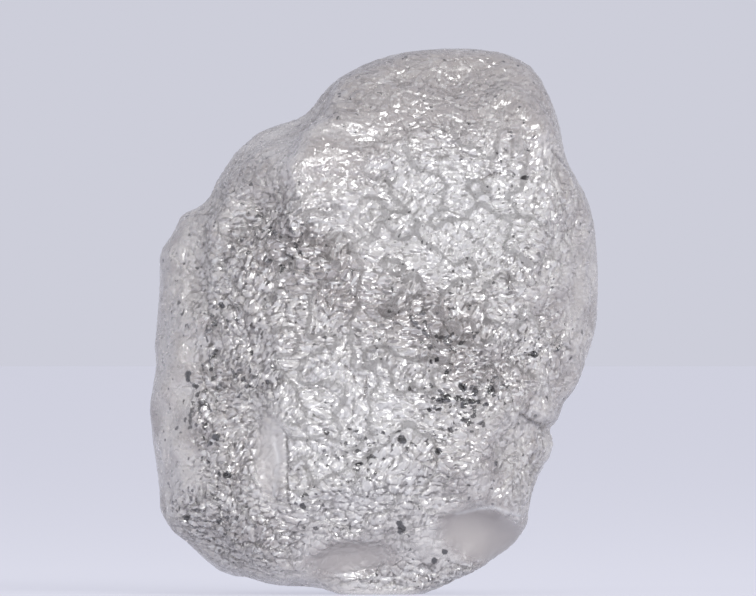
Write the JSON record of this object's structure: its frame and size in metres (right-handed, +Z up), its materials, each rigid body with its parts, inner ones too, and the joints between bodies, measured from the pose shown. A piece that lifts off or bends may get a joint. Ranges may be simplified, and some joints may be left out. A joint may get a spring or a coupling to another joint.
{
  "type": "rough diamond",
  "caption": "Uncut, etched natural crystal: a cloudy pale grey stone with rounded faces, ledges and pits, standing on a small flat spot at its foot.",
  "frame": {"origin": "under the middle of the stone's width and depth, on the surface that its foot rests on", "axes": "+Z up along the stone's length, -Y towards the etched front that the picture shows, +X to the right as seen from the front"},
  "size_m": [0.0078, 0.0054, 0.0094],
  "materials": {
    "diamond": "etched, cloudy and see-through, with dark specks inside and a satin to glassy shine"
  },
  "bodies": {
    "root": {"rough_diamond": "diamond"}
  },
  "joints": []
}
